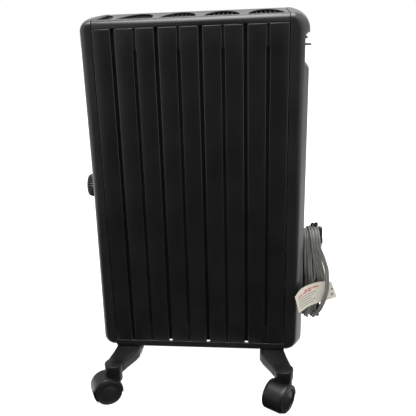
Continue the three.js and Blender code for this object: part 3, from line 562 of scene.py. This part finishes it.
def web(x):
    """Two welded sheets that part round the oil channel."""
    levels = ((94.5, 0), (98, 0.05), (103, 0.45), (110, 0.9), (118, 1), (636, 1), (644, 0.9), (651, 0.45),
              (656, 0.05), (659.5, 0))
    rings = []
    for z, swell in levels:
        ring = []
        for sign in (1, -1):
            for k in range(25):
                y = sign * (WEB_HALF - 2 * WEB_HALF * k / 24)
                bulge = max(0.0, 1 - (abs(y) / CHANNEL_HALF) ** 4)
                ring.append((x + sign * (1.5 + 5.0 * bulge * swell), y, z))
        rings.append(ring)
    return loft(rings)


def hub(x, z, low, high):
    """Pressed hub with a waist and a weld bead where it meets its neighbour."""
    profile = [(HUB_BORE, low), (21.5, low), (22.6, low + 0.8), (22.6, low + 2.4), (21.4, low + 3.4),
               (21.6, low + 9), (24.5, low + 13), (26.5, low + 17)]
    mirror = [(r, high - (w - low)) for r, w in reversed(profile)]
    return turned([(r, x + w) for r, w in profile + mirror], "x", (0, z), 40)


def end_hub(x, z, low, high):
    """Plain hub of the first or the last fin."""
    profile = [(HUB_BORE, low), (22, low), (26, low + 4), (26, high - 6), (22, high - 1), (22, high),
               (HUB_BORE, high)]
    return turned([(r, x + w) for r, w in profile], "x", (0, z), 40)


for index, x in enumerate(FIN_X):
    first, last = index == 0, index == len(FIN_X) - 1
    right = FIRST_REACH if first else LAST_REACH if last else REACH
    low = -7.0 if first else -34.85
    high = 31.55 if first else 20.0 if last else 34.85
    solids = [web(x)]
    for rear in (False, True):
        solids.append(panel(x, 1, rear, right, not first, -1.6 if first else 1.6))
        if not last:
            solids.append(edge_lip(x, right, rear))
        if not first:
            solids.append(panel(x, -1, rear, REACH, True))
            solids += groove_floor(x, rear)
    for z in (LOWER_HUB, UPPER_HUB):
        solids.append((end_hub if first or last else hub)(x, z, low, high))
    piece(raw(f"fin_body_{index + 1}", solids), "fin_paint", nodes=(f"fin_{index + 1}",), smooth=32)


# ------------------------------------------------------------ top cover
VENT_HALF = 28.5
VENT_FRONT = -58.0
VENT_LENGTH = 106.0
VENT_X = (-157.8,) + tuple(x - 2.5 for x in FIN_X[1:])
VENT_LEFT = -152.9  # the first vent is cut short by the end cap
BAR_PITCH = 7.4
COVER_HEIGHT = 12.6
COVER_WALL = 2.4


def vent_reach(u):
    """Rear edge of a vent at u from its middle."""
    return VENT_FRONT + VENT_LENGTH * math.sqrt(max(0.0, 1 - (u / VENT_HALF) ** 2))


def vent_mouth(x):
    """Half-moon outline of one vent, straight along its front edge."""
    low = max(x - VENT_HALF, VENT_LEFT)
    sweep = math.acos(max(-1.0, (low - x) / VENT_HALF))
    arc = [sweep * k / 36 for k in range(37)]
    mouth = [(x + VENT_HALF * math.cos(a), VENT_FRONT + VENT_LENGTH * math.sin(a)) for a in arc]
    if low > x - VENT_HALF:
        mouth.append((low, VENT_FRONT))
    return mouth


def vent_grille(x, low, high):
    """Bars from front to rear and two cross bars, sunk under the top face."""
    solids = []
    for k in range(-3, 4):
        u = BAR_PITCH * k
        if x + u - 0.6 > VENT_LEFT:
            solids.append(box(x + u - 0.6, x + u + 0.6, VENT_FRONT - 0.8, vent_reach(u) + 0.8, low, high))
    for part in (0.34, 0.68):
        y = VENT_FRONT + VENT_LENGTH * part
        half = VENT_HALF * math.sqrt(1 - part * part) + 0.8
        left = max(x - half, VENT_LEFT - 0.8)
        solids.append(box(left, x + half, y - 0.7, y + 0.7, low + 0.2, high - 0.2))
    return solids


def cover():
    half = CAP_INNER - 0.9
    z0 = FIN_TOP + 0.3
    z1 = z0 + COVER_HEIGHT

    def section(inset, radius):
        return rounded([(FRONT + inset, z0 - inset), (-FRONT - inset, z0 - inset),
                        (-FRONT - inset, z1 - inset, radius), (FRONT + inset, z1 - inset, radius)], 9)

    made = raw("cover", [prism(section(0, 9), "x", -half, half)])
    cut(made, raw("hollow", [prism(section(COVER_WALL, 7), "x", -half - 1, half + 1)]))
    cut(made, raw("vents", [prism(vent_mouth(x), "z", z0 - 1, z1 + 1) for x in VENT_X]))
    bevelled(made, 0.7, 2, 50)
    piece(made, "cover_plastic", nodes=("top_cover",), smooth=30)
    bars = [solid for x in VENT_X for solid in vent_grille(x, z1 - 6.4, z1 - 2.8)]
    # the sunken bars take the darker, duller plastic: painted shade inside the vents
    piece(raw("vent_bars", bars), "vent_painted_shade", smooth=30)


cover()


# ------------------------------------------------------------ end caps
CAP_WALL = 2.6
CORNER = 11  # depth of a cap's upright corners
FLOOR_ROUND = 8  # rounding of the front and rear faces towards the floor and the top
TOP_ROUND = 9
FLARE_TOP = 425  # the flare grows from this height down
FLARE_RUN = 345


def cap_block(side, bottom, outer, crown, rx_top, rz_top, rx_low, rz_low, facet, flare, inset):
    """Crowned end cap as rings from its lower edge to its top, rounded in all three views.

    The corner is an arc, or a slanted facet of the given depth; flare widens it towards the floor.
    """
    mouth = CAP_INNER - (5 if inset else 0)
    low, high = bottom + inset, CAP_TOP - inset
    levels = sorted(low + rz_low * (1 - math.sin(math.pi / 2 * k / 12)) for k in range(13))
    levels += [low + rz_low + 40, 220, 320, 425, 500, high - rz_top - 40]
    levels += [high - rz_top * (1 - math.sin(math.pi / 2 * k / 15)) for k in range(16)]
    rings = []
    for z in levels:
        down = max(0.0, (low + rz_low - z) / rz_low)
        up = max(0.0, (z - (high - rz_top)) / rz_top)
        ix = rx_low * (1 - math.sqrt(max(0, 1 - down**2))) + rx_top * (1 - math.sqrt(max(0, 1 - up**2)))
        down = max(0.0, (low + FLOOR_ROUND - z) / FLOOR_ROUND)
        up = max(0.0, (z - (high - TOP_ROUND)) / TOP_ROUND)
        iy = FLOOR_ROUND * (1 - math.sqrt(max(0, 1 - down**2)))
        iy += TOP_ROUND * (1 - math.sqrt(max(0, 1 - up**2)))
        y_front = FRONT + inset + iy * 0.92
        rise = crown - flare * max(0.0, (FLARE_TOP - z) / FLARE_RUN)
        x_edge = outer - inset - rise - ix
        room = x_edge - CAP_INNER - 0.4
        if facet:
            run = max(0.5, min(CORNER - inset / 2, room * 0.55))
            start = y_front + facet * run / CORNER
            corner = rounded([(mouth - 20, y_front), (x_edge - run, y_front, run * 0.9),
                              (x_edge, start, run * 0.4), (x_edge + rise * 0.5, start + 30)], 4)[1:-1]
            half = [(mouth, y_front)] + corner
            start = corner[-1][1]
        else:
            radius = max(0.6, min(CORNER - inset / 2, room))
            half = [(mouth, y_front)]
            for k in range(9):
                a = math.pi / 2 * k / 8
                half.append((x_edge - radius * (1 - math.sin(a)), y_front + radius * (1 - math.cos(a))))
            start = y_front + radius
        edge = half[-1][0]
        for k in range(1, 8):
            y = start * (1 - k / 8)
            half.append((edge + (x_edge + rise - edge) * (1 - (y / start) ** 2), y))
        full = half + [(x_edge + rise, 0)] + [(u, -v) for u, v in reversed(half)]
        rings.append([(side * u, v, z) for u, v in full])
    return loft(rings)


def control_holes(name):
    """Holes for the knob's shaft, the lamp and the rockers."""
    x0, x1 = -LEFT_OUTER - 6, -LEFT_OUTER + 9
    solids = [drum("x", 4.5, x0, x1, (0, KNOB_Z), 0, 32), drum("x", 3.6, x0, x1, (0, LAMP_Z), 0, 24)]
    solids += [box(x0, x1, -7.2, 7.2, z - 11.4, z + 11.4) for z in SWITCH_Z]
    return raw(name, solids)


LEFT_CAP = dict(side=-1, bottom=CAP_BOTTOM, outer=LEFT_OUTER, crown=9, rx_top=17, rz_top=17, rx_low=19,
                rz_low=19, facet=0, flare=3.5)
left = raw("control_cap", [cap_block(**LEFT_CAP, inset=0)])
cut(left, raw("hollow", [cap_block(**LEFT_CAP, inset=CAP_WALL)]))
cut(left, control_holes("holes"))
piece(left, "cover_plastic", nodes=("control_end_cap",), smooth=30)


GROOVE_FLOOR = RIGHT_OUTER - 11  # floor of the finger groove


def grip_cutter(grow):
    """Finger groove right across the cap, and the deeper pocket in its middle."""
    floor = GROOVE_FLOOR - grow
    groove = rounded([(RIGHT_OUTER + 6, 580 - grow), (RIGHT_OUTER - 3.5, 585.5 - grow, 6),
                      (floor, 597 - grow, 8), (floor, 639 + grow, 5), (floor + 5, 643 + grow, 2.5),
                      (RIGHT_OUTER + 6, 640.5 + grow)], 7)
    made = raw("groove", [prism(groove, "y", FRONT - 2, -FRONT + 2)])
    pocket = rectangle(-46 - grow, 46 + grow, 600 - grow, 640 + grow, 12, 8)
    cut(made, raw("pocket", [prism(pocket, "x", floor - 13, floor + 4)]), "UNION")
    return made


RIGHT_CAP = dict(side=1, bottom=80.0, outer=RIGHT_OUTER, crown=3.7, rx_top=27, rz_top=28, rx_low=21,
                 rz_low=21, facet=19, flare=0)
right = raw("cord_cap", [cap_block(**RIGHT_CAP, inset=0)])
hollow = raw("hollow", [cap_block(**RIGHT_CAP, inset=CAP_WALL)])
cut(hollow, grip_cutter(CAP_WALL))
cut(right, hollow)
cut(right, grip_cutter(0))
cut(right, raw("cord_hole", [drum("x", 5.4, RIGHT_OUTER - 12, RIGHT_OUTER + 5, (GLAND_Y, 232), 0, 32)]))
bevelled(right, 0.8, 2, 48)
piece(right, "cover_plastic", nodes=("cord_end_cap",), smooth=34)

# ------------------------------------------------------------ lower rails
RAIL_HALF = 155.9

for name, end in (("lower_rail_front", 1), ("lower_rail_rear", -1)):
    profile = ((0, 80.9, 1.6), (3, 80.9, 1.0), (4.4, 82.2, 1.0), (14, 82.2, 0), (14, 84.7, 0),
               (3.4, 84.7, 1.2), (3.4, 93.2, 0), (0, 93.2, 1.5))
    outline = rounded([(end * (FRONT + v), z, radius) for v, z, radius in profile], 4)
    rail = bevelled(raw("rail", [prism(outline, "x", -RAIL_HALF, RAIL_HALF)]), 0.3, 1, 50)
    rail.name = name + "_profile"
    piece(rail, "cover_plastic", nodes=(name,), smooth=35)

# ------------------------------------------------------------ control panel, knob and switches
DIAL_RADIUS = 23.0
PANEL_HALF = 24
ROCKER_AXIS = 180.4

plate_x = -LEFT_OUTER - 0.3
mark_depth = (plate_x - 2.12, plate_x - 1.9)
plate = raw("panel", [prism(rectangle(-PANEL_HALF, PANEL_HALF, 350, 500, 14, 10), "x", plate_x - 2, plate_x)])
cut(plate, control_holes("holes"))
bevelled(plate, 0.5, 2, 50)
piece(plate, "control_plastic", nodes=("control_panel",), smooth=35)
marks = []
for k in range(11):
    angle = math.radians(-60 - 30 * k)
    u, v = math.sin(angle), math.cos(angle)
    size = 0.7 + 0.06 * k
    centre = (-DIAL_RADIUS * u, KNOB_Z + DIAL_RADIUS * v)
    if abs(centre[0]) < PANEL_HALF - 1.4:
        marks.append(prism(ellipse(*centre, size, size, 14), "x", *mark_depth))
marks += [prism(rectangle(-11.5, -9.5, z - 1, z + 1, 0.3), "x", *mark_depth) for z in SWITCH_Z]
piece(raw("dial_marks", marks), "mark_white", smooth=40)

back = -LEFT_OUTER - 2.9
face = -KNOB_FACE
rim = KNOB_RADIUS - 1
knob_profile = [(3.3, back), (rim, back), (rim + 0.4, back - 1), (rim + 0.4, face + 9),
                (rim + 0.1, face + 6), (rim - 0.8, face + 3.4), (rim - 2.2, face + 1.4),
                (rim - 3.4, face + 0.5), (rim - 4.4, face + 0.6), (rim - 5, face + 3.5), (3.3, face + 3.5)]
knob = raw("knob", [turned(knob_profile, "x", (0, KNOB_Z), 192, 0.55, 32)])
bar_end = KNOB_RADIUS - 5.6
bar_outline = rectangle(-bar_end, bar_end, KNOB_Z - 4, KNOB_Z + 4, 1, 3)
grip_bar = raw("knob_bar", [prism(bar_outline, "x", face, face + 5)])
bevelled(grip_bar, 1.0, 3, 50)
piece(knob, "control_plastic", "thermostat_control", ("thermostat_knob",), smooth=42)
piece(grip_bar, "control_plastic", "thermostat_control", smooth=42)
pointer = raw("knob_pointer", [box(face - 0.15, face + 0.3, -13, -5, KNOB_Z - 0.7, KNOB_Z + 0.7)])
piece(pointer, "mark_white", "thermostat_control")

for index, z in enumerate(SWITCH_Z):
    paddle = rounded([(-10, -9.4, 1.0), (-8.8, 0, 14), (-10, 9.4, 1.0), (1.5, 8, 1.5), (1.5, -8, 1.5)], 5)
    made = raw(f"rocker_{index + 1}", [prism(paddle, "y", -6.1, 6.1),
                                       drum("y", 1.15, -8.2, 8.2, (0, 0), 0, 20)])
    bevelled(made, 0.5, 2, 55)
    tip = Matrix.Translation(Vector(metres((-ROCKER_AXIS, 0, z)))) @ Matrix.Rotation(math.radians(7), 4, "Y")
    made.data.transform(tip @ Matrix.Translation((-SHIFT / 1000, 0, 0)))
    body = "rocker_upper" if index else "rocker_lower"
    piece(made, "rocker_red", body, (f"power_rocker_{index + 1}",), smooth=40)


# ------------------------------------------------------------ cord hooks and plug clip
HOOK_END = 223.5
CLIP_HALF = 9


def half_disc(radius, arc_z, up, steps=28):
    first = 0 if up > 0 else math.pi
    angles = [first + math.pi * k / steps for k in range(steps + 1)]
    return [(radius * math.cos(a), arc_z + radius * math.sin(a)) for a in angles]


def hook(name, up, plate_x, plate_outline, node):
    """Half-round saddle that the cord lies on, with a plate at its end that keeps it there."""
    arc_z = UPPER_ARC if up > 0 else LOWER_ARC
    base_x = RIGHT_OUTER + 0.3
    saddle = raw("saddle", [prism(half_disc(20.6, arc_z, up), "x", base_x, plate_x + 1)])
    cut(saddle, raw("hollow", [prism(half_disc(15.6, arc_z - up * 0.5, up), "x", base_x + 2.5, plate_x)]))
    made = raw(name, [prism(plate_outline, "x", plate_x, HOOK_END)])
    bevelled(made, 1.3, 3, 40)
    if up > 0:
        cut(made, raw("boss", [drum("x", 6, HOOK_END - 1, HOOK_END + 2.5, (0, 266), 0.8, 36)]), "UNION")
    cut(made, saddle, "UNION")
    piece(made, "control_plastic", nodes=(node,), smooth=38)


upper_plate = rounded([(-13, 243, 4), (13, 243, 4), (17, 281, 4), (12, 290, 4), (-12, 298, 4),
                       (-17, 288, 4)], 6)
hook("hook_upper", 1, 217.5, upper_plate, "cord_hook_upper")
hook("hook_lower", -1, 216, rectangle(-17, 17, 115.5, 146, 6, 6), "cord_hook_lower")

clip_root = GROOVE_FLOOR - 11
clip_finger = rounded([(clip_root, 629), (187, 628.5, 0.4), (188.5, 630, 0.6), (186, 632, 0.6),
                       (clip_root, 633)], 3)
clip = raw("clip", [box(clip_root - 1.6, clip_root + 0.4, -12, 12, 606, 634),
                    box(clip_root, 194.5, -CLIP_HALF, CLIP_HALF, 617.4, 619.2),
                    prism(clip_finger, "y", -CLIP_HALF, CLIP_HALF)])
bevelled(clip, 0.5, 2, 50)
piece(clip, "control_plastic", nodes=("plug_clip",))


# ------------------------------------------------------------ feet
FOOT_WALL = 3.2
BOLT_X = 134.4
BOLT_Y = 29.2
# x and y along a foot's arm, its width there, and its lower and upper face
ARM_STATIONS = (
    (134.4, -1, 42, 75.5, 81.9), (134.4, 58, 42, 75.5, 81.9), (134.4, 66, 42.4, 69.5, 80.9),
    (134.2, 71, 43.6, 63.5, 80.4), (134.3, 77, 45.4, 59.4, 79.6), (137.4, 85, 43, 57.8, 78.4),
    (142, 96, 39, 56.8, 76.8), (146.6, 106.5, 35.8, 56.2, 75.2), (149.8, 115, 34, 55.6, 74.4),
    (151.2, 118.5, 32.6, 55.2, 74.2),
)


def arm_ring(x, y, along, width, low, high, side, end):
    """Rounded section of a foot's arm, square to its path."""
    across = Vector((along[1], -along[0])).normalized()
    half = width / 2
    outline = rounded([(-half, low, 1.2), (half, low, 1.2), (half, high, 4), (-half, high, 4)], 4)
    return [(side * (x + across.x * u), end * (y + across.y * u), w) for u, w in outline]


def foot_arm(side, end, inset, drop):
    """Arm from the foot's middle to a caster; with an inset, the channel under it."""
    stations = ARM_STATIONS[2:-1] if inset else ARM_STATIONS
    rings = []
    for k, (x, y, width, low, high) in enumerate(stations):
        a = stations[max(k - 1, 0)]
        b = stations[min(k + 1, len(stations) - 1)]
        along = (b[0] - a[0], b[1] - a[1])
        rings.append(arm_ring(x, y, along, width - 2 * inset, low - drop, high - inset, side, end))
    return loft(rings)


for side, node in ((-1, "foot_control_end"), (1, "foot_cord_end")):
    made = None
    for end in (-1, 1):
        arm = raw("arm", [foot_arm(side, end, 0, 0)])
        cut(arm, raw("channel", [foot_arm(side, end, FOOT_WALL, 12)]))
        boss = raw("boss", [drum("z", 16.6, 54.5, 74.4, (side * STEM_X, end * STEM_Y), 1.6, 48)])
        cut(arm, boss, "UNION")
        cut(arm, raw("stem_hole", [drum("z", 5.7, 54, 70.2, (side * STEM_X, end * STEM_Y), 0, 32)]))
        cut(arm, raw("bolt_hole", [drum("z", 3.2, 60, 90, (side * BOLT_X, end * BOLT_Y), 0, 20)]))
        bevelled(arm, 0.9, 2, 50)
        made = cut(made, arm, "UNION") if made else arm
    made.name = f"foot_{'left' if side < 0 else 'right'}"
    piece(made, "caster_plastic", nodes=(node,), smooth=36)

gussets = []
for end in (-1, 1):
    y0, y1 = sorted((end * 61.5, end * 66))
    gussets.append(prism([(-114.2, 83), (-105, 83), (-106, 74), (-112.6, 53), (-114.2, 53)], "y", y0, y1))
piece(bevelled(raw("foot_gussets", gussets), 0.5, 2, 40), "steel", smooth=36)


# ------------------------------------------------------------ casters
TREAD = 25  # radius of a wheel
HOOD_START = -8  # degrees round the axle, and how far the hood reaches from there
HOOD_SWEEP = 223


def hood_shell():
    """Cover over the treads: a rounded channel turned from the leading to the trailing side."""
    half, outer, wall = 19.0, 28.0, 2.3
    section = rounded([(outer - wall, -half, 0.8), (outer - 1.2, -half, 0.8), (outer, -half + 5, 6),
                       (outer, half - 5, 6), (outer - 1.2, half, 0.8), (outer - wall, half, 0.8)], 4)
    rings = []
    for k in range(37):
        angle = math.radians(HOOD_START + HOOD_SWEEP * k / 36)
        rings.append([(-TRAIL + r * math.cos(angle), y, AXLE_Z + r * math.sin(angle)) for r, y in section])
    return loft(rings)


def hood():
    """Hood with the web between its wheels, the neck for the stem and the bore for the axle."""
    made = raw("hood", [hood_shell()])
    angles = [math.radians(HOOD_START + HOOD_SWEEP * k / 24) for k in range(25)]
    sector = [(-TRAIL, AXLE_Z)]
    sector += [(-TRAIL + 26.5 * math.cos(a), AXLE_Z + 26.5 * math.sin(a)) for a in angles]
    cut(made, raw("web", [prism(sector, "y", -2.4, 2.4)]), "UNION")
    neck = raw("neck", [drum("z", 15, 40, 54.4, (0, 0), 1.6, 40)])
    cut(neck, raw("room", [drum("y", 25.8, -20, 20, (-TRAIL, AXLE_Z), 0, 64)]))
    cut(made, neck, "UNION")
    cut(made, raw("bore", [drum("y", 4.3, -6, 6, (-TRAIL, AXLE_Z), 0, 28)]))
    cut(made, raw("socket", [drum("z", 5.8, 49.7, 60, (0, 0), 0, 28)]))
    return bevelled(made, 0.5, 2, 55)


def wheels():
    """Two wheels with dished outer faces, on one axle."""
    profile = [(0.01, 3), (TREAD - 1.4, 3), (TREAD - 0.4, 3.6), (TREAD, 4.8), (TREAD, 17.2),
               (TREAD - 0.4, 18.6), (TREAD - 1.6, 19.5), (21.4, 19.5), (20.6, 18.9), (20.2, 17.6),
               (18.6, 17.2), (12, 17.9), (11.2, 18.7), (9.6, 19.2), (6, 19.4), (0.01, 19.5)]
    solids = []
    for side in (1, -1):
        solids.append(turned([(r, side * w) for r, w in profile], "y", (-TRAIL, AXLE_Z), 64))
    solids.append(drum("y", 4, -3.4, 3.4, (-TRAIL, AXLE_Z), 0, 28))
    return raw("wheels", solids)


for label, side_x, side_y, heading in CASTERS:
    place = Matrix.Translation((side_x * STEM_X / 1000 + SHIFT / 1000, side_y * STEM_Y / 1000, 0))
    place = place @ Matrix.Rotation(math.radians(heading - 180), 4, "Z")
    place = place @ Matrix.Translation((-SHIFT / 1000, 0, 0))
    shell = hood()
    shell.name = f"hood_{label}"
    shell.data.transform(place)
    piece(shell, "caster_plastic", f"caster_{label}", (f"caster_hood_{label}",), smooth=36)
    pair = wheels()
    pair.name = f"wheels_{label}"
    pair.data.transform(place)
    piece(pair, "wheel_plastic", f"wheels_{label}", (f"caster_wheels_{label}",), smooth=32)

# ------------------------------------------------------------ pieces that keep their CAD shape
for entry in frame["record"]["subparts"]:
    node = frame["nodes"][entry["node"]]
    node.data.materials.clear()
    node.data.materials.append(MATERIALS[entry["material_slot"]])


# ------------------------------------------------------------ floor and light
def sheet(name, x, y0, y1, z0, z1):
    """Flat four-sided sheet, level or upright."""
    mesh = bpy.data.meshes.new(name)
    mesh.from_pydata([(-x, y0, z0), (x, y0, z0), (x, y1, z1), (-x, y1, z1)], [], [(0, 1, 2, 3)])
    made = bpy.data.objects.new(name, mesh)
    bpy.context.scene.collection.objects.link(made)
    return made


floor = sheet("floor", 6, -6, 6, 0, 0)
pale = material("floor", (0.4, 0.4, 0.4), 0.8, tint=0.01, grain=60, bump=0.02, patch=3)
pale_shader = pale.node_tree.nodes["Principled BSDF"]
pale_shader.inputs["Emission Color"].default_value = (1, 1, 1, 1)
pale_shader.inputs["Emission Strength"].default_value = 0.88
floor.data.materials.append(pale)

# dark cards on the floor and upright in front, seen only in reflections
dark = material("card", (0.004, 0.004, 0.004), 0.9, grain=60, bump=0.02, patch=3, shine=0)
for card in (sheet("card_floor", 1.1, -0.12, -2.1, 0.002, 0.002),
             sheet("card_front", 1.1, -2.1, -2.1, 0.002, 1.6)):
    card.data.materials.append(dark)
    card.visible_camera = False
    card.visible_diffuse = False
    card.visible_shadow = False

world = bpy.data.worlds.new("world")
bpy.context.scene.world = world
world.use_nodes = True
world.node_tree.nodes["Background"].inputs["Color"].default_value = (1, 1, 1, 1)
world.node_tree.nodes["Background"].inputs["Strength"].default_value = 1.0


def area(name, place, target, size, power):
    light = bpy.data.lights.new(name, "AREA")
    light.shape = "RECTANGLE"
    light.size, light.size_y = size
    light.energy = power
    made = bpy.data.objects.new(name, light)
    bpy.context.scene.collection.objects.link(made)
    made.location = place
    made.rotation_euler = (Vector(target) - Vector(place)).to_track_quat("-Z", "Y").to_euler()


area("top_light", (0.05, -0.2, 1.9), (0, -0.1, 0.6), (1.8, 1.4), 95)
area("right_light", (1.6, -0.6, 0.9), (0.1, 0, 0.35), (0.7, 1.2), 2)
area("left_light", (-1.6, -0.5, 0.9), (-0.1, 0, 0.35), (0.6, 1.2), 3)
